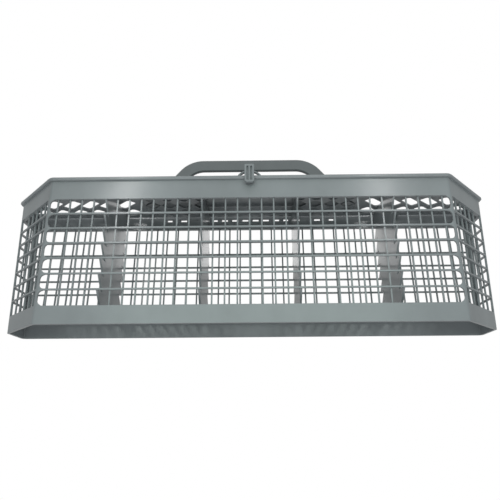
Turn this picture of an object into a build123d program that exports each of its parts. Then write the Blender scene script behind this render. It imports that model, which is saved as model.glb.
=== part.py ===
"""Long dishwasher cutlery basket: a drafted grille body with five compartments, a hinged openwork lid and a handle.

Millimetres, +Z up, X along the basket. The side with the two bevelled corners, which faces the machine's door,
is the front and looks towards -Y. The basket stands on the edge of its skirt at z = 0.
"""

import os
from math import radians, sin, tan

from build123d import *

# Plan and heights of the body, measured on the outside of its walls
rim_length = 493.4
base_length = 475.6
rim_depth = 92.6
base_depth = 84.0
front_length = 388.0
bevel_slope = 1.1
corner_radius = 4.4
inner_corner_bevel = 1.0
rim_height = 141.7

# Walls
skirt_wall = 2.2
band_wall = 2.4
sill_wall = 4.0
sill_height = 3.0
lip_reach = 3.0
lip_height = 3.4
lip_edge_bevel = 1.0

# Grille
bar_pitch = 11.6
row_count = 7
row_pitch = 14.7
grille_foot = 16.5
ledger_height = 1.6
ledger_depth = 1.9
upright_width = 1.5
upright_depth = 1.5
post_width = 2.0
back_post_width = 5.6
opening_bevel = 3.4
front_bar_limit = 16
back_bar_limit = 19
bevel_columns = 6
end_columns = 2

# Floor
floor_thickness = 2.4
floor_slot_width = 8.6
floor_slot_limit = 17
floor_margin = 9.0

# Dividers stand where these bars of the front and back walls would be
divider_bars = (-12, -4, 4, 12)
divider_thickness = 1.8
divider_bite = 0.6
divider_notch = 15.0

# Back wall slits between the inner dividers
slit_height = 2.6
slit_rise = 6.9
slit_end_gap = 4.0
slit_half_span = 98.0

# Hinge: short rods between lugs on the back wall, held by open hooks on the lid
hinge_stations = (-156.6, 156.6)
hinge_drop = 5.2
hinge_offset = 4.6
rod_radius = 2.0
rod_length = 15.0
lug_thickness = 2.4
lug_radius = 3.0
lug_bevel = 1.5
hinge_clearance = 0.1
hook_wall = 1.7
hook_width = 11.0
hook_mouth = 3.4

# Lid
lid_thickness = 2.4
lid_side_gap = 1.2
lid_seat_gap = 0.3
lid_drop = 5.8
eye_pitch_x = 17.4
eye_pitch_y = 18.6
eye_length = 15.0
eye_depth = 14.4
eye_rows = 4
eye_columns = 27
plain_half_length = 42.0
lid_rim_margin = 3.0
stiffener_height = 3.0
stiffener_thickness = 1.6
stiffener_places = (-22.0, 4.0, 26.0)

# Latch clip on the lid's front edge
latch_width = 9.4
latch_thickness = 3.6
latch_clearance = 0.5
latch_top = 10.0
latch_foot = 9.2
latch_frame_wall = 2.0
latch_pocket_depth = 2.2
latch_rib_width = 1.6
latch_foot_radius = 2.5
loop_span = 26.0
loop_strap = 1.8
loop_depth = 3.0
loop_rise = 7.2

# Handle
plate_length = 238.0
plate_depth = 66.0
plate_thickness = 2.4
plate_corner = 12.0
handle_top = 183.2
handle_band = 11.0
handle_thickness = 4.6
handle_foot_length = 208.0
handle_slope_deg = 50.0
handle_bend = 32.0
handle_edge_bevel = 0.9
peg_clearance = 0.4
peg_drop = 1.8

# Worked out from the sizes above
grille_top = grille_foot + row_count * row_pitch
latch_reach = latch_clearance + latch_thickness
plan_shift = latch_reach / 2
lid_top = rim_height - lid_drop
lid_bottom = lid_top - lid_thickness
hinge_z = rim_height - hinge_drop
floor_height = grille_foot - floor_thickness


def between(base, rim, z):
    """A size that changes evenly from the foot of the walls to the rim."""
    return base + (rim - base) * z / rim_height


def front_y(z):
    """Outer face of the front wall at a height."""
    return plan_shift - between(base_depth, rim_depth, z) / 2


def back_y(z):
    """Outer face of the back wall at a height."""
    return plan_shift + between(base_depth, rim_depth, z) / 2


def plan_corners(z):
    """Corners of the outer plan at a height, anticlockwise from the left end of the front wall."""
    front_half = front_length / 2
    end_half = between(base_length, rim_length, z) / 2
    bevel_y = front_y(z) + bevel_slope * (end_half - front_half)
    right = [(front_half, front_y(z)), (end_half, bevel_y), (end_half, back_y(z))]
    left = [(-x, y) for x, y in reversed(right)]
    return [left[2], *right, left[0], left[1]]


def outer_plan(z, reach=0.0):
    """Plan of the outer faces at a height, with round corners, drawn outside them by the reach."""
    with BuildSketch(Plane.XY.offset(z)) as sketch:
        with BuildLine():
            Polyline(*plan_corners(z), close=True)
        make_face()
        fillet(sketch.vertices(), corner_radius)
        if reach:
            offset(amount=reach, mode=Mode.REPLACE)
    return sketch.sketch


def inner_plan(z, inset):
    """Plan drawn inside the outer faces by the inset at a height, with bevelled corners."""
    with BuildSketch(Plane.XY.offset(z)) as sketch:
        with BuildLine():
            Polyline(*plan_corners(z), close=True)
        make_face()
        offset(amount=-inset, kind=Kind.INTERSECTION, mode=Mode.REPLACE)
        chamfer(sketch.vertices(), inner_corner_bevel)
    return sketch.sketch


def drafted_block(low_plan, high_plan):
    """Solid that follows the drafted walls from one plan up to another."""
    with BuildPart() as block:
        loft([low_plan, high_plan], ruled=True)
    return block.part


def wall_plane(first, inset):
    """Plane of the wall that runs from one plan corner to the next: x along it, y up it and z out of it."""
    second = (first + 1) % 6
    foot_a, foot_b = (Vector(*plan_corners(0)[corner]) for corner in (first, second))
    head_a = Vector(*plan_corners(rim_height)[first]) + Vector(0, 0, rim_height)
    along = (foot_b - foot_a).normalized()
    rise = head_a - foot_a
    up = rise - along * rise.dot(along)
    inward = Vector(0, 0, 1).cross(along)
    origin = (foot_a + foot_b) / 2 + inward * inset
    return Plane(origin=origin, x_dir=along, z_dir=along.cross(up))


def wall_reach(first, z):
    """Where a wall starts and ends at a height, along its own plane."""
    plane = wall_plane(first, 0)
    ends = (plan_corners(z)[first], plan_corners(z)[(first + 1) % 6])
    return [plane.to_local_coords(Vector(x, y, z)).X for x, y in ends]


def up_wall(first, z):
    """A height measured up the slope of a wall."""
    lean = wall_plane(first, 0).z_dir.Z
    return z / (1 - lean**2) ** 0.5


def bars_between(limit):
    """Places of the uprights of a long wall, leaving out those that a divider replaces."""
    return [k * bar_pitch for k in range(-limit, limit + 1) if k not in divider_bars]


def open_reach(first, z):
    """Where the openings of a wall start and end at a height, between the posts at its two plan corners."""
    start, end = wall_reach(first, z)
    first_post, second_post = (back_post_width if corner % 6 in (3, 4) else post_width for corner in (first, first + 1))
    return start + first_post, end - second_post


def bars_even(first, columns):
    """Places of the uprights that divide a short wall into equal columns."""
    start, end = open_reach(first, (grille_foot + grille_top) / 2)
    return [start + (end - start) * k / columns for k in range(1, columns)]


# Walls by their first plan corner: front, right bevel, right end, back, left end, left bevel
FRONT, RIGHT_BEVEL, RIGHT_END, BACK, LEFT_END, LEFT_BEVEL = range(6)
uprights = {
    FRONT: bars_between(front_bar_limit),
    RIGHT_BEVEL: bars_even(RIGHT_BEVEL, bevel_columns),
    RIGHT_END: bars_even(RIGHT_END, end_columns),
    BACK: bars_between(back_bar_limit),
    LEFT_END: bars_even(LEFT_END, end_columns),
    LEFT_BEVEL: bars_even(LEFT_BEVEL, bevel_columns),
}
divider_places = [k * bar_pitch for k in divider_bars]


def grille_openings(first):
    """Cutter for all the openings of one wall: one long slot in each row, with bevelled ends in the front."""
    with BuildPart() as cutter:
        with BuildSketch(wall_plane(first, -1.0)) as slots:
            for row in range(row_count):
                low = grille_foot + row * row_pitch + (ledger_height / 2 if row else 0)
                high = grille_foot + (row + 1) * row_pitch - (ledger_height / 2 if row < row_count - 1 else 0)
                start, end = open_reach(first, (low + high) / 2)
                with Locations(((start + end) / 2, up_wall(first, (low + high) / 2))):
                    Rectangle(end - start, up_wall(first, high - low))
            if first == FRONT:
                chamfer(slots.vertices(), opening_bevel)
        extrude(amount=-(ledger_depth + 3.0))
    return cutter.part


def grille_uprights(first):
    """Upright bars of one wall, on the inside of its ledgers."""
    sunk = sill_height / 2
    with BuildPart() as bars:
        with BuildSketch(wall_plane(first, ledger_depth)):
            middle = up_wall(first, (grille_foot + grille_top) / 2)
            with Locations(*[(place, middle) for place in uprights[first]]):
                Rectangle(upright_width, up_wall(first, grille_top - grille_foot + 2 * sunk))
        extrude(amount=-upright_depth)
    return bars.part


def divider_panel(place):
    """One divider, from the floor to just under the lid. Slanted teeth on both edges run into the ledgers."""
    top = lid_bottom - lid_seat_gap
    foot = floor_height + floor_thickness / 2
    land = ledger_height / 4
    front_edge = [(front_y(foot) + divider_bite, foot)]
    back_edge = [(back_y(foot) - divider_bite, foot)]
    for row in range(row_count):
        low = grille_foot + row * row_pitch + (land if row else -land)
        high = grille_foot + (row + 1) * row_pitch - (land if row < row_count - 1 else -land)
        front_edge += [
            (front_y(low) + divider_bite, low),
            (front_y(low) + divider_bite + divider_notch, low),
            (front_y(high) + divider_bite, high),
        ]
        back_edge += [
            (back_y(low) - divider_bite, low),
            (back_y(high) - divider_bite - divider_notch, high),
            (back_y(high) - divider_bite, high),
        ]
    front_edge.append((front_y(top) + divider_bite, top))
    back_edge.append((back_y(top) - divider_bite, top))
    with BuildPart() as panel:
        with BuildSketch(Plane.YZ.offset(place - divider_thickness / 2)):
            with BuildLine():
                Polyline(*front_edge, *reversed(back_edge), close=True)
            make_face()
        extrude(amount=divider_thickness)
    return panel.part


def floor_slots():
    """Cutter for the drain slots of the floor, one between each two bars."""
    low = floor_height - 1.0
    slot_limit = inner_plan(low, floor_margin)
    columns = range(-floor_slot_limit, floor_slot_limit)
    with BuildPart() as cutter:
        with BuildSketch(Plane.XY.offset(low)):
            with Locations(*[((k + 0.5) * bar_pitch, plan_shift) for k in columns]):
                Rectangle(floor_slot_width, base_depth)
            add(slot_limit, mode=Mode.INTERSECT)
        extrude(amount=floor_thickness + 2.0)
    return cutter.part


def hinge_axis_y():
    """The hinge rods run this far inside the back wall."""
    return back_y(hinge_z) - band_wall - hinge_offset


def hinge_lugs(station):
    """One rod of the hinge between its two lugs, carried by the back wall."""
    y = hinge_axis_y()
    wall = back_y(hinge_z) - band_wall / 2
    with BuildPart() as lugs:
        for side in (-1, 1):
            inner_face = station + side * rod_length / 2
            with BuildSketch(Plane.YZ.offset(inner_face)) as lug:
                with Locations(((y - lug_radius + wall) / 2, hinge_z)):
                    Rectangle(wall - y + lug_radius, 2 * lug_radius)
                chamfer(lug.vertices().group_by(Axis.X)[0], lug_bevel)
            extrude(amount=side * lug_thickness)
        with BuildSketch(Plane.YZ.offset(station - rod_length / 2)):
            with Locations((y, hinge_z)):
                Circle(rod_radius)
        extrude(amount=rod_length)
    return lugs.part


def back_slits():
    """Cutter for the long slits in the upper band of the back wall, just under the lid."""
    low = grille_top + sill_height + slit_rise
    stops = [-slit_half_span, divider_places[1], divider_places[2], slit_half_span]
    with BuildPart() as cutter:
        with BuildSketch(wall_plane(BACK, -1.0)):
            for start, end in zip(stops, stops[1:]):
                with Locations(((start + end) / 2, up_wall(BACK, low + slit_height / 2))):
                    Rectangle(end - start - 2 * slit_end_gap, slit_height)
        extrude(amount=-(band_wall + 2.0))
    return cutter.part


# Basket body
body_block = drafted_block(outer_plan(0), outer_plan(rim_height))
hollow_steps = (
    (0, floor_height, skirt_wall),
    (grille_foot, grille_top, ledger_depth),
    (grille_top, grille_top + sill_height, sill_wall),
    (grille_top + sill_height, rim_height, band_wall),
)
hollows = [drafted_block(inner_plan(low, inset), inner_plan(high, inset)) for low, high, inset in hollow_steps]
openings = [grille_openings(first) for first in uprights]
bars = [grille_uprights(first) for first in uprights]
dividers = [divider_panel(place) for place in divider_places]
lugs = [hinge_lugs(station) for station in hinge_stations]
drains = floor_slots()
slits = back_slits()

lip_plan = outer_plan(rim_height, lip_reach)
lip_hole = inner_plan(rim_height, band_wall / 2)
with BuildPart() as lip:
    extrude(lip_plan, amount=-lip_height)
    extrude(lip_hole, amount=-lip_height, mode=Mode.SUBTRACT)
    flat_ends = lip.faces().filter_by(Axis.Z)
    chamfer([edge for end in flat_ends for edge in end.outer_wire().edges()], lip_edge_bevel)

with BuildPart() as basket_body:
    add(body_block)
    add([*hollows, *openings, drains, slits], clean=False, mode=Mode.SUBTRACT)
    add([*bars, *dividers, *lugs, lip.part], clean=False)
basket_body.part.label = "basket_body"


def eye_outline(shrink=0.0):
    """One opening of the lid: a pointed lozenge."""
    half_length = eye_length / 2 - shrink
    half_depth = eye_depth / 2 - shrink
    Polygon((half_length, 0), (0, half_depth), (-half_length, 0), (0, -half_depth), align=None)


def eye_places(half_gap, half_reach):
    """Centres of the lid's openings between two distances from the middle of the lid."""
    centre = plan_shift + (front_y(lid_top) + band_wall - plan_shift + hinge_axis_y() - plan_shift) / 2
    places = []
    for column in range(eye_columns):
        x = (column - (eye_columns - 1) / 2) * eye_pitch_x
        for row in range(eye_rows):
            y = centre + (row - (eye_rows - 1) / 2) * eye_pitch_y
            if half_gap < abs(x) < half_reach:
                places.append((x, y))
    return places


def lid_panel():
    """Flat panel of the lid inside the rim, with its rows of openings and its notches for the hinge lugs."""
    lid_plan = inner_plan(lid_bottom, band_wall + lid_side_gap)
    margin_plan = inner_plan(lid_bottom, band_wall + lid_side_gap + lid_rim_margin)
    rear = hinge_axis_y()
    notch_front = rear - lug_radius - lid_side_gap / 2
    notch_length = rod_length + 2 * lug_thickness + lid_side_gap
    with BuildPart() as panel:
        with BuildSketch(Plane.XY.offset(lid_bottom)):
            add(lid_plan)
            with Locations((0, rear + rim_depth / 2)):
                Rectangle(rim_length, rim_depth, mode=Mode.SUBTRACT)
            with Locations(*[(station, (notch_front + rear) / 2) for station in hinge_stations]):
                Rectangle(notch_length, rear - notch_front, mode=Mode.SUBTRACT)
        extrude(amount=lid_thickness)
        with BuildSketch(Plane.XY.offset(lid_bottom)):
            with Locations(*eye_places(plain_half_length, rim_length / 2)):
                eye_outline()
            add(margin_plan, mode=Mode.INTERSECT)
        extrude(amount=lid_thickness, mode=Mode.SUBTRACT)
    return panel.part


def hinge_hook(station):
    """Open hook on the lid's rear edge that snaps over one hinge rod."""
    y = hinge_axis_y()
    bore = rod_radius + hinge_clearance
    outside = bore + hook_wall
    root = y - 2 * lug_radius - lid_side_gap
    with BuildPart() as hook:
        with BuildSketch(Plane.YZ.offset(station)):
            with Locations((y, hinge_z)):
                Circle(outside)
            with Locations(((root + y) / 2, (lid_bottom + hinge_z) / 2)):
                Rectangle(y - root, hinge_z - lid_bottom)
            with Locations((y, hinge_z)):
                Circle(bore, mode=Mode.SUBTRACT)
            with Locations((y + outside / 2, hinge_z - outside / 2)):
                Rectangle(outside, hook_mouth, rotation=-45, mode=Mode.SUBTRACT)
        extrude(amount=hook_width / 2, both=True)
    return hook.part


def latch_clip():
    """Clip in front of the rim, carried over it by a short bridge on an arched loop that stands on the lid."""
    lip_face = front_y(rim_height) - lip_reach
    clip_back = lip_face - latch_clearance
    clip_front = clip_back - latch_thickness
    top = rim_height + latch_top
    foot = rim_height - latch_foot
    loop_back = front_y(lid_top) + band_wall + lid_side_gap + loop_depth
    bridge_low = rim_height + latch_clearance
    loop_top = rim_height + loop_rise
    bridge_top = loop_top + loop_strap / 4
    pocket_width = (latch_width - 2 * latch_frame_wall - latch_rib_width) / 2
    with BuildPart() as clip:
        with BuildSketch(Plane.XZ.offset(-clip_back)) as face:
            with Locations((0, (top + foot) / 2)):
                Rectangle(latch_width, top - foot)
            fillet(face.vertices().group_by(Axis.Y)[0], latch_foot_radius)
        extrude(amount=latch_thickness)
        with BuildSketch(Plane.XZ.offset(-clip_front)):
            for side in (-1, 1):
                x = side * (latch_rib_width + pocket_width) / 2
                with Locations((x, (top + foot) / 2)):
                    Rectangle(pocket_width, top - foot - 2 * latch_frame_wall)
        extrude(amount=-latch_pocket_depth, mode=Mode.SUBTRACT)
        with BuildSketch(Plane.XZ.offset(-loop_back)):
            with Locations((0, (bridge_low + bridge_top) / 2)):
                Rectangle(latch_width, bridge_top - bridge_low)
        extrude(amount=loop_back - clip_back)
        with BuildSketch(Plane.XZ.offset(-loop_back)):
            with BuildLine():
                half = loop_span / 2
                Polyline((-half, lid_bottom), (-half, bridge_low))
                ThreePointArc((-half, bridge_low), (0, loop_top + loop_strap), (half, bridge_low))
                Polyline((half, bridge_low), (half, lid_bottom), (-half, lid_bottom))
            make_face()
            with BuildLine():
                half = loop_span / 2 - loop_strap
                Polyline((-half, lid_top), (-half, bridge_low))
                ThreePointArc((-half, bridge_low), (0, loop_top), (half, bridge_low))
                Polyline((half, bridge_low), (half, lid_top), (-half, lid_top))
            make_face(mode=Mode.SUBTRACT)
        extrude(amount=loop_depth)
    return clip.part


def lid_stiffeners():
    """Ribs along the underside of the lid's plain middle, between the two inner dividers."""
    length = divider_places[2] - divider_places[1] - 2 * divider_thickness
    with BuildPart() as ribs:
        with BuildSketch(Plane.XY.offset(lid_bottom)):
            with Locations(*[(0, plan_shift + place) for place in stiffener_places]):
                Rectangle(length, stiffener_thickness)
        extrude(amount=-stiffener_height)
    return ribs.part


def leg_trapezoid(foot_half, low, high, bend):
    """Side view of the handle or of its finger gap: slanted legs and round shoulders."""
    shoulder_half = foot_half - (high - low) / tan(radians(handle_slope_deg))
    with BuildSketch(Plane.XZ.offset(-plan_shift)) as side:
        with BuildLine():
            Polyline(
                (-foot_half, low),
                (-shoulder_half, high),
                (shoulder_half, high),
                (foot_half, low),
                close=True,
            )
        make_face()
        fillet(side.vertices().group_by(Axis.Y)[-1], bend)
    return side.sketch


def handle_arch():
    """Arch of the handle: a band of even width with slanted legs and round shoulders."""
    foot_z = lid_top + plate_thickness / 2
    leg_width = handle_band / sin(radians(handle_slope_deg))
    outer_half = handle_foot_length / 2
    outside = leg_trapezoid(outer_half, foot_z, handle_top, handle_bend)
    gap = leg_trapezoid(outer_half - leg_width, foot_z, handle_top - handle_band, handle_bend - handle_band)
    with BuildPart() as arch:
        extrude(outside, amount=handle_thickness / 2, both=True)
        extrude(gap, amount=handle_thickness, both=True, mode=Mode.SUBTRACT)
        side_edges = arch.faces().filter_by(Axis.Y).edges()
        chamfer(side_edges.filter_by_position(Axis.Z, foot_z + 1.0, handle_top + 1.0), handle_edge_bevel)
    return arch.part


# Lid
panel = lid_panel()
hooks = [hinge_hook(station) for station in hinge_stations]
clip = latch_clip()
stiffeners = lid_stiffeners()
with BuildPart() as lid:
    add(panel)
    add([*hooks, clip, stiffeners])
lid.part.label = "lid"

# Handle on its base plate, which covers the middle of the lid and is pegged into four of its openings
arch = handle_arch()
peg_columns = sorted({abs(x) for x, y in eye_places(plain_half_length, plate_length / 2)})
peg_rows = sorted({y for x, y in eye_places(plain_half_length, plate_length / 2)})[1:3]
with BuildPart() as handle:
    with BuildSketch(Plane.XY.offset(lid_top)):
        with Locations((0, plan_shift)):
            RectangleRounded(plate_length, plate_depth, plate_corner)
    extrude(amount=plate_thickness)
    with BuildSketch(Plane.XY.offset(lid_top)):
        with Locations(*[(side * peg_columns[-1], y) for side in (-1, 1) for y in peg_rows]):
            eye_outline(peg_clearance)
    extrude(amount=-peg_drop)
    add(arch)
handle.part.label = "handle"

os.makedirs("parts", exist_ok=True)
for piece in (basket_body, lid, handle):
    export_step(piece.part, f"parts/{piece.part.label}.step")
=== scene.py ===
from math import radians, sin, tan

import bpy
from mathutils import Matrix, Vector


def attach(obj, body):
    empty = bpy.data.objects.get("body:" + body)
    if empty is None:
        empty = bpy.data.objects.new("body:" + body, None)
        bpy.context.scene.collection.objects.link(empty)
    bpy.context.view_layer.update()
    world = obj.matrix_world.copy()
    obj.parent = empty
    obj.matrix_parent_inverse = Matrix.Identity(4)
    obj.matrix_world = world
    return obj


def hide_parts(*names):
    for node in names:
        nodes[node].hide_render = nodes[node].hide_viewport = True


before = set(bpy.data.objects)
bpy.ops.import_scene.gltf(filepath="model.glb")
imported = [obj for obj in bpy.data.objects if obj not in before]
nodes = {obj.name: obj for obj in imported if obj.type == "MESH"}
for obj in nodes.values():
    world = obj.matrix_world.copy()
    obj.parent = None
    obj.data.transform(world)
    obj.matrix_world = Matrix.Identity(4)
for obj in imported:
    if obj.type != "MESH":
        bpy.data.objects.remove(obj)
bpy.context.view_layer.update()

scene = bpy.context.scene
scene.view_settings.view_transform = "Standard"

# All sizes are in metres. Corners this close are joined in a CAD copy, joined after the cuts, or count as level
merge_distance, sliver_distance, level_distance = 1e-6, 1e-5, 1e-5
smooth_angle = radians(30)

# Lid: its lower and upper face, the border that stays whole round its openings, and the depth of an untrimmed block
lid_low, lid_high = 0.1335, 0.1359
border_x = 0.2385
border_y = (-0.0372, 0.0335)
border_bevel_slope = 1.1
border_bevel_start = (0.194, -0.0342)
block_depth = 0.12

# Pointed ovals next to the plain middle of the lid, where it is thinned from below
thinned_x = (0.0440, 0.1128)
lattice_thinning = 0.0009
eye_first_column, eye_columns, eye_pitch_x = 0.0522, 4, 0.0174
eye_first_row, eye_rows, eye_pitch_y = -0.02814, 4, 0.0186
eye_tip = 0.0081
eye_peak = 0.0115
eye_rounding = 0.0060
eye_rim = 0.0004

# Slanted openings of the lid outside the handle's plate, in a thin sheet set into a window
window_start, window_end = 0.1160, 0.26
window_clearance = 0.001
sheet_low, sheet_high = 0.1343, 0.1357
window_reach, sheet_bite, sheet_rim = 0.0002, 0.0007, 0.0008
slant_first_column, slant_columns, slant_pitch_x = 0.1320, 6, 0.0194
slant_first_row, slant_rows, slant_pitch_y = -0.0402, 4, 0.0234
slant_length, slant_width = 0.0227, 0.0111
slant_rounding = 0.0030

# Round ends of the slots in the front wall
front_slot_end = 0.1924
front_end_width, front_end_depth, front_end_height = 0.0054, 0.0055, 0.0129
front_end_rounding = 0.0042
front_first_row = (-0.03942, 0.02385)
front_row_step = (-0.000446, 0.0147)
front_row_count = 7
front_outer_row_rise = 0.0008

# Short posts that part the long slits of the back band into dashes: place along the wall and width
slit_post_y, slit_post_z = 0.0468, 0.1306
slit_post_depth, slit_post_height = 0.0020, 0.0036
slit_post_pitch, slit_post_width = 0.0116, 0.0050
outer_slit_posts = ((0.0638, 0.0166), (0.0837, 0.0100))
slit_posts = [(step * slit_post_pitch, slit_post_width) for step in range(-3, 4)]
slit_posts += [(side * place, width) for side in (-1, 1) for place, width in outer_slit_posts]

# Handle: its middle, the top of its base plate, the slope and reach of its legs,
# and how far its finger gap is drawn in
handle_y = 0.00205
handle_plate_top = 0.1383
handle_top = 0.1832
handle_leg_slope = radians(50)
handle_foot_half = 0.1029
handle_half_thickness = 0.0025
handle_gap_depth = 0.0070
handle_gap_scale = (0.975, 1.0, 0.950)

# Plastic: the hue of its grey, its darkest and lightest share of a tone, the stretch of the flow marks,
# what the marks and clouds add to the colour, and what the marks and grain add to the roughness
grey_hue = (0.885, 0.985, 1.03)
dark_share, light_share = 0.85, 1.13
flow_stretch = (9.0, 24.0, 3.0)
marks_in_colour, clouds_in_colour = 0.65, 0.35
gloss_drop, marks_in_gloss, grain_in_gloss = 0.08, 0.10, 0.07

# Studio: the floor, the world's light, and the points and strips that the soft boxes share
floor_width, floor_drop = 6.0, 0.0004
paper_grey = (0.86, 0.86, 0.86, 1.0)
plain_white = (1.0, 1.0, 1.0, 1.0)
world_light = 0.42
band_aim, foot_aim = (0.0, 0.0, 0.08), (0.0, 0.0, 0.05)
strip_size = (0.07, 0.36)

# Camera: its turn and place, and its lens in pixels of the square frame
camera_pitch, camera_yaw, camera_roll = radians(22.48), radians(-0.60), radians(-0.36)
camera_place = (0.0051, -0.4936, -0.0822)
frame_pixels, focal_pixels, axis_row = 500, 510.6, 212
sensor_width = 36.0


class Link:
    """A shader socket that takes part in Python sums. Each sum adds one Math node."""

    def __init__(self, shader, socket):
        self.shader = shader
        self.socket = socket

    def sum_with(self, operation, first, second):
        return self.shader.node("ShaderNodeMath", {"operation": operation}, {0: first, 1: second})

    def __add__(self, other):
        return self.sum_with("ADD", self, other)

    __radd__ = __add__

    def __mul__(self, other):
        return self.sum_with("MULTIPLY", self, other)

    __rmul__ = __mul__

    def __sub__(self, other):
        return self.sum_with("SUBTRACT", self, other)

    def __rsub__(self, other):
        return self.sum_with("SUBTRACT", other, self)


class Shader:
    """A material or world whose nodes are added from code."""

    def __init__(self, owner):
        owner.use_nodes = True
        self.tree = owner.node_tree
        self.tree.nodes.clear()

    def node(self, kind, settings=None, inputs=None, output=0):
        """Adds one node: its settings first, then the values or links of its sockets."""
        made = self.tree.nodes.new(kind)
        for name, value in (settings or {}).items():
            if name == "stops":
                ramp = made.color_ramp
                for place, shade in value[2:]:
                    ramp.elements.new(place).color = shade
                for element, (place, shade) in zip(ramp.elements, sorted(value)):
                    element.position = place
                    element.color = shade
            else:
                setattr(made, name, value)
        for name, value in (inputs or {}).items():
            if isinstance(value, Link):
                self.tree.links.new(value.socket, made.inputs[name])
            else:
                made.inputs[name].default_value = value
        return Link(self, made.outputs[output]) if made.outputs else None


def grey(value):
    """The cool grey of the moulded plastic, in linear values."""
    return (*(value * hue for hue in grey_hue), 1.0)


def moulded_plastic(name, tone, roughness):
    """Satin moulded polypropylene: a fine sparked grain, faint flow marks and soft edges."""
    material = bpy.data.materials.new(name)
    shader = Shader(material)
    place = shader.node("ShaderNodeTexCoord", output="Object")
    flow = shader.node("ShaderNodeMapping", inputs={"Vector": place, "Scale": flow_stretch})
    marks = shader.node(
        "ShaderNodeTexNoise", inputs={"Vector": flow, "Scale": 1.6, "Detail": 4.0, "Roughness": 0.55}
    )
    clouds = shader.node("ShaderNodeTexNoise", inputs={"Vector": place, "Scale": 38.0, "Detail": 3.0})
    grain = shader.node("ShaderNodeTexNoise", inputs={"Vector": place, "Scale": 1500.0, "Detail": 2.0})
    shade = marks_in_colour * marks + clouds_in_colour * clouds
    colour = shader.node(
        "ShaderNodeValToRGB",
        {"stops": [(0.30, grey(tone * dark_share)), (0.70, grey(tone * light_share)), (0.50, grey(tone))]},
        {"Fac": shade},
    )
    gloss = roughness - gloss_drop + marks_in_gloss * marks + grain_in_gloss * grain
    soft_edge = shader.node("ShaderNodeBevel", {"samples": 6}, {"Radius": 0.0007})
    surface = shader.node(
        "ShaderNodeBump", inputs={"Strength": 0.16, "Distance": 0.00012, "Height": grain, "Normal": soft_edge}
    )
    plastic = shader.node(
        "ShaderNodeBsdfPrincipled",
        inputs={
            "Base Color": colour,
            "Roughness": gloss,
            "Normal": surface,
            "IOR": 1.49,
            "Coat Weight": 0.60,
            "Coat Roughness": 0.17,
        },
    )
    shader.node("ShaderNodeOutputMaterial", inputs={"Surface": plastic})
    return material


def dress(node, material):
    """Gives a CAD node its finish, which its copies take over."""
    mesh = nodes[node].data
    mesh.materials.clear()
    mesh.materials.append(material)


dress("basket_body", moulded_plastic("body_plastic", tone=0.245, roughness=0.46))
dress("lid", moulded_plastic("lid_plastic", tone=0.235, roughness=0.48))
# The handle's grey is set darker than the body's and the lid's; part of that darkness is painted shade.
dress("handle", moulded_plastic("handle_plastic", tone=0.150, roughness=0.54))


def only(piece):
    """Selects one piece and nothing else."""
    bpy.ops.object.select_all(action="DESELECT")
    piece.select_set(True)
    bpy.context.view_layer.objects.active = piece


def pick(piece, kind, wanted):
    """Selects the vertices or edges of a piece that pass a test, and leaves the piece in edit mode."""
    only(piece)
    bpy.ops.object.mode_set(mode="EDIT")
    bpy.ops.mesh.select_mode(type=kind)
    bpy.ops.mesh.select_all(action="DESELECT")
    bpy.ops.object.mode_set(mode="OBJECT")
    corners = piece.data.vertices
    if kind == "EDGE":
        for edge in piece.data.edges:
            edge.select = wanted(*(corners[end].co for end in edge.vertices))
    else:
        for corner in corners:
            corner.select = wanted(corner.co)
    bpy.ops.object.mode_set(mode="EDIT")


def block(size, place, turn=0.0):
    """Starts a tool as a block of a size at a place, turned about the upright axis."""
    bpy.ops.object.select_all(action="DESELECT")
    bpy.ops.mesh.primitive_cube_add(size=1.0, location=place, rotation=(0.0, 0.0, turn), scale=size)
    bpy.ops.object.transform_apply()
    return bpy.context.object


def repeat(piece, steps=()):
    """Repeats a tool by counts and steps, and on the other side of the middle."""
    only(piece)
    for count, step in steps:
        array = piece.modifiers.new("steps", "ARRAY")
        array.count = count
        array.use_relative_offset = False
        array.use_constant_offset = True
        array.constant_offset_displace = step
        bpy.ops.object.modifier_apply(modifier=array.name)
    halves = piece.modifiers.new("halves", "MIRROR")
    halves.use_mirror_merge = False
    bpy.ops.object.modifier_apply(modifier=halves.name)
    bpy.ops.object.mode_set(mode="EDIT")
    bpy.ops.mesh.select_all(action="SELECT")
    bpy.ops.mesh.normals_make_consistent(inside=False)
    bpy.ops.object.mode_set(mode="OBJECT")


def trim_to_border(piece, reach=0.0):
    """Takes off what goes past the border of the lid by more than the reach."""
    planes = [
        ((0.0, border_y[0] - reach, 0.0), (0.0, -1.0, 0.0)),
        ((0.0, border_y[1] + reach, 0.0), (0.0, 1.0, 0.0)),
    ]
    for side in (-1, 1):
        start = (side * (border_bevel_start[0] + reach), border_bevel_start[1] - reach / 2, 0.0)
        planes.append(((side * (border_x + reach), 0.0, 0.0), (side, 0.0, 0.0)))
        planes.append((start, (side * border_bevel_slope, -1.0, 0.0)))
    only(piece)
    bpy.ops.object.mode_set(mode="EDIT")
    for point, outwards in planes:
        bpy.ops.mesh.select_all(action="SELECT")
        bpy.ops.mesh.bisect(plane_co=point, plane_no=outwards, use_fill=True, clear_outer=True)
    bpy.ops.object.mode_set(mode="OBJECT")


def lid_blocks(start, end, low, high, reach=0.0):
    """Two blocks inside the border of the lid, one on each side of its middle."""
    size = (end - start, block_depth, high - low)
    blocks = block(size, ((start + end) / 2, 0.0, (low + high) / 2))
    repeat(blocks)
    trim_to_border(blocks, reach)
    return blocks


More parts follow.
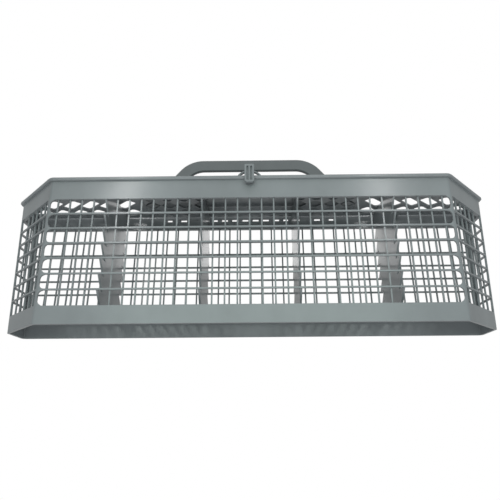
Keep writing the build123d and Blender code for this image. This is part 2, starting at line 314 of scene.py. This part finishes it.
def lid_eyes():
    """Cutter for the pointed ovals next to the middle, one shaped from a lozenge and repeated."""
    bpy.ops.object.select_all(action="DESELECT")
    place = (eye_first_column, eye_first_row, (lid_low + lid_high) / 2)
    depth = 2 * (lid_high - lid_low)
    bpy.ops.mesh.primitive_cylinder_add(vertices=4, radius=eye_tip, depth=depth, location=place)
    eyes = bpy.context.object
    bpy.ops.object.transform_apply()
    bpy.ops.object.mode_set(mode="EDIT")
    bpy.ops.mesh.select_all(action="SELECT")
    bpy.ops.transform.resize(value=(1.0, eye_peak / eye_tip, 1.0), center_override=place)
    bpy.ops.object.mode_set(mode="OBJECT")
    pick(eyes, "VERT", lambda corner: abs(corner.x - eye_first_column) < eye_tip / 2)
    bpy.ops.mesh.bevel(offset=eye_rounding, segments=5, affect="EDGES")
    bpy.ops.object.mode_set(mode="OBJECT")
    repeat(eyes, [(eye_columns, (eye_pitch_x, 0.0, 0.0)), (eye_rows, (0.0, eye_pitch_y, 0.0))])
    trim_to_border(eyes, -eye_rim)
    return eyes


def lid_slants():
    """Cutter for the slanted openings, whose outer ends lie further back."""
    place = (slant_first_column, slant_first_row, (lid_low + lid_high) / 2)
    slants = block((slant_length, slant_width, 2 * (lid_high - lid_low)), place, radians(45))
    pick(slants, "EDGE", lambda a, b: abs(a.z - b.z) > lid_high - lid_low)
    bpy.ops.mesh.bevel(offset=slant_rounding, segments=4, affect="EDGES")
    bpy.ops.object.mode_set(mode="OBJECT")
    steps = [(slant_columns, (slant_pitch_x, 0.0, 0.0)), (slant_rows, (0.0, slant_pitch_y, 0.0))]
    repeat(slants, steps)
    trim_to_border(slants, -sheet_rim)
    return slants


def front_slot_ends():
    """Cutter that rounds the bevelled slot ends of the front wall, seven rows at both sides."""
    size = (front_end_width, front_end_depth, front_end_height)
    middle = front_slot_end - front_end_width / 2
    ends = block(size, (middle, *front_first_row))
    pick(ends, "EDGE", lambda a, b: min(a.x, b.x) > middle and abs(a.y - b.y) > front_end_depth / 2)
    bpy.ops.mesh.bevel(offset=front_end_rounding, segments=6, affect="EDGES")
    bpy.ops.object.mode_set(mode="OBJECT")
    repeat(ends, [(front_row_count, (0.0, *front_row_step))])
    lowest = front_first_row[1] - front_end_height / 2
    highest = lowest + front_end_height + (front_row_count - 1) * front_row_step[1]
    for height, rise in ((lowest, -front_outer_row_rise), (highest, front_outer_row_rise)):
        pick(ends, "VERT", lambda corner: abs(corner.z - height) < level_distance)
        bpy.ops.transform.translate(value=(0.0, 0.0, rise))
        bpy.ops.object.mode_set(mode="OBJECT")
    return ends


def slit_dashes():
    """The short posts of the back slits, joined into one tool."""
    posts = [
        block((width, slit_post_depth, slit_post_height), (place, slit_post_y, slit_post_z))
        for place, width in slit_posts
    ]
    only(posts[0])
    for post in posts:
        post.select_set(True)
    bpy.ops.object.join()
    return posts[0]


def merged_copy(node, name):
    """A copy of a CAD node with its loose triangles joined up."""
    piece = nodes[node].copy()
    piece.data = nodes[node].data.copy()
    piece.name = name
    piece.parent = None
    piece.matrix_world = Matrix()
    scene.collection.objects.link(piece)
    only(piece)
    bpy.ops.object.mode_set(mode="EDIT")
    bpy.ops.mesh.select_all(action="SELECT")
    bpy.ops.mesh.remove_doubles(threshold=merge_distance)
    bpy.ops.object.mode_set(mode="OBJECT")
    return piece


def carve(piece, operation, tool):
    """Cuts a tool out of a piece, or joins it on, and clears the tool away."""
    only(piece)
    cut = piece.modifiers.new("carve", "BOOLEAN")
    cut.operation = operation
    cut.solver = "EXACT"
    cut.object = tool
    bpy.ops.object.modifier_apply(modifier=cut.name)
    bpy.data.objects.remove(tool)


def join_slivers(piece):
    """Clears away the hair-thin faces that the cuts leave. Only the lid needs it: it would open the body's mesh."""
    only(piece)
    bpy.ops.object.mode_set(mode="EDIT")
    bpy.ops.mesh.select_all(action="SELECT")
    bpy.ops.mesh.remove_doubles(threshold=sliver_distance)
    bpy.ops.mesh.dissolve_degenerate(threshold=sliver_distance)
    bpy.ops.object.mode_set(mode="OBJECT")


def smooth_rounds(piece):
    """Smooth shading over the rounded edges, with the flat faces kept flat."""
    only(piece)
    bpy.ops.mesh.customdata_custom_splitnormals_clear()
    bpy.ops.object.shade_smooth_by_angle(angle=smooth_angle)
    weights = piece.modifiers.new("flat_faces", "WEIGHTED_NORMAL")
    weights.mode = "FACE_AREA"
    weights.weight = 100
    weights.keep_sharp = True
    bpy.ops.object.modifier_apply(modifier=weights.name)


def round_slot_body():
    """The basket body with round ends to the slots of its front wall, and dashes in its back band."""
    body = merged_copy("basket_body", "round_slot_body")
    carve(body, "DIFFERENCE", front_slot_ends())
    carve(body, "UNION", slit_dashes())
    smooth_rounds(body)
    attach(body, "basket")
    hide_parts("basket_body")


def on_finger_gap(corner):
    """Whether a corner of the handle lies on the edge of its finger gap, well inside its outer edge."""
    leg = handle_foot_half - (corner.z - handle_plate_top) / tan(handle_leg_slope)
    depth = min(handle_top - corner.z, (leg - abs(corner.x)) * sin(handle_leg_slope))
    above_plate = corner.z > handle_plate_top - level_distance
    return abs(corner.y - handle_y) < handle_half_thickness and above_plate and depth > handle_gap_depth


def broad_handle():
    """The handle with a broader band, its finger gap drawn in towards the base plate."""
    handle = merged_copy("handle", "broad_handle")
    pick(handle, "VERT", on_finger_gap)
    bpy.ops.transform.resize(value=handle_gap_scale, center_override=(0.0, 0.0, handle_plate_top))
    bpy.ops.object.mode_set(mode="OBJECT")
    smooth_rounds(handle)
    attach(handle, "lid")
    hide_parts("handle")


def lattice_lid():
    """The lid with thin strands: pointed ovals under the handle's plate and slanted openings outside it."""
    lid = merged_copy("lid", "lattice_lid")
    sheet = lid_blocks(window_start - sheet_bite, window_end, sheet_low, sheet_high, sheet_bite)
    carve(sheet, "DIFFERENCE", lid_slants())
    carve(lid, "DIFFERENCE", lid_blocks(*thinned_x, lid_low - lattice_thinning, lid_low + lattice_thinning))
    carve(lid, "DIFFERENCE", lid_eyes())
    window = (window_start, window_end, lid_low - window_clearance, lid_high + window_clearance)
    carve(lid, "DIFFERENCE", lid_blocks(*window, window_reach))
    carve(lid, "UNION", sheet)
    join_slivers(lid)
    smooth_rounds(lid)
    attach(lid, "lid")
    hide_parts("lid")


def pale_floor():
    """A wide floor under the skirt, seen from above only, because the photograph looks up from below the foot."""
    bpy.ops.object.select_all(action="DESELECT")
    bpy.ops.mesh.primitive_plane_add(size=floor_width, location=(0.0, 0.0, -floor_drop))
    floor = bpy.context.object
    floor.name = "floor"
    bpy.ops.object.transform_apply(location=True)
    material = bpy.data.materials.new("floor_paper")
    shader = Shader(material)
    seen = shader.node("ShaderNodeLightPath", output="Is Camera Ray")
    under = shader.node("ShaderNodeNewGeometry", output="Backfacing")
    paper = shader.node("ShaderNodeBsdfDiffuse", inputs={"Color": paper_grey})
    clear = shader.node("ShaderNodeBsdfTransparent")
    sheet = shader.node("ShaderNodeMixShader", inputs={0: seen * (1 - under), 1: clear, 2: paper})
    shader.node("ShaderNodeOutputMaterial", inputs={"Surface": sheet})
    floor.data.materials.append(material)


def studio_world():
    """Plain soft light from all round, and white where the camera sees past the object."""
    world = bpy.data.worlds.new("studio")
    scene.world = world
    shader = Shader(world)
    rays = ("Is Camera Ray", "Is Transmission Ray")
    seen = sum(shader.node("ShaderNodeLightPath", output=ray) for ray in rays)
    light = shader.node("ShaderNodeBackground", inputs={"Color": plain_white, "Strength": world_light})
    white = shader.node("ShaderNodeBackground", inputs={"Color": plain_white, "Strength": 1.0})
    sky = shader.node("ShaderNodeMixShader", inputs={0: seen, 1: light, 2: white})
    shader.node("ShaderNodeOutputWorld", inputs={"Surface": sky})


def soft_box(name, place, aim, size, power, tint=(1.0, 1.0, 1.0)):
    """One soft box of a width and a height, aimed at a point of the object."""
    lamp = bpy.data.lights.new(name, "AREA")
    lamp.shape = "RECTANGLE"
    lamp.size, lamp.size_y = size
    lamp.energy = power
    lamp.color = tint
    holder = bpy.data.objects.new(name, lamp)
    scene.collection.objects.link(holder)
    holder.location = place
    holder.visible_camera = False
    holder.rotation_mode = "QUATERNION"
    holder.rotation_quaternion = (Vector(aim) - Vector(place)).to_track_quat("-Z", "Y")


def photo_camera():
    """The photograph's view: close in front of the basket, from a little below its foot."""
    lens = bpy.data.cameras.new("photo_camera")
    lens.sensor_width = sensor_width
    lens.lens = sensor_width * focal_pixels / frame_pixels
    lens.shift_y = (axis_row - frame_pixels / 2) / frame_pixels
    lens.clip_start = 0.01
    holder = bpy.data.objects.new("photo_camera", lens)
    scene.collection.objects.link(holder)
    sideways = Matrix.Rotation(-camera_yaw, 4, "Z")
    upwards = Matrix.Rotation(radians(90) + camera_pitch, 4, "X")
    tilted = Matrix.Rotation(camera_roll, 4, "Z")
    holder.matrix_world = Matrix.Translation(camera_place) @ (sideways @ upwards @ tilted)
    scene.camera = holder


round_slot_body()
lattice_lid()
broad_handle()
pale_floor()
studio_world()
soft_box("high_front_light", (0.0, -0.75, 1.35), band_aim, (1.2, 0.8), power=4.6)
soft_box("low_fill_light", (0.0, -1.3, 0.12), foot_aim, (1.0, 0.5), power=3.5, tint=(0.78, 1.0, 0.90))
soft_box("under_light", (0.0, -0.7, -1.0), foot_aim, (1.4, 0.8), power=4.8)
soft_box("left_strip_light", (-0.435, -1.19, 0.56), band_aim, strip_size, power=1.45)
soft_box("right_strip_light", (0.43, -1.19, 0.56), band_aim, strip_size, power=1.15)
soft_box("back_light", (0.0, 1.5, 1.0), band_aim, (2.2, 1.0), power=6.6)
photo_camera()
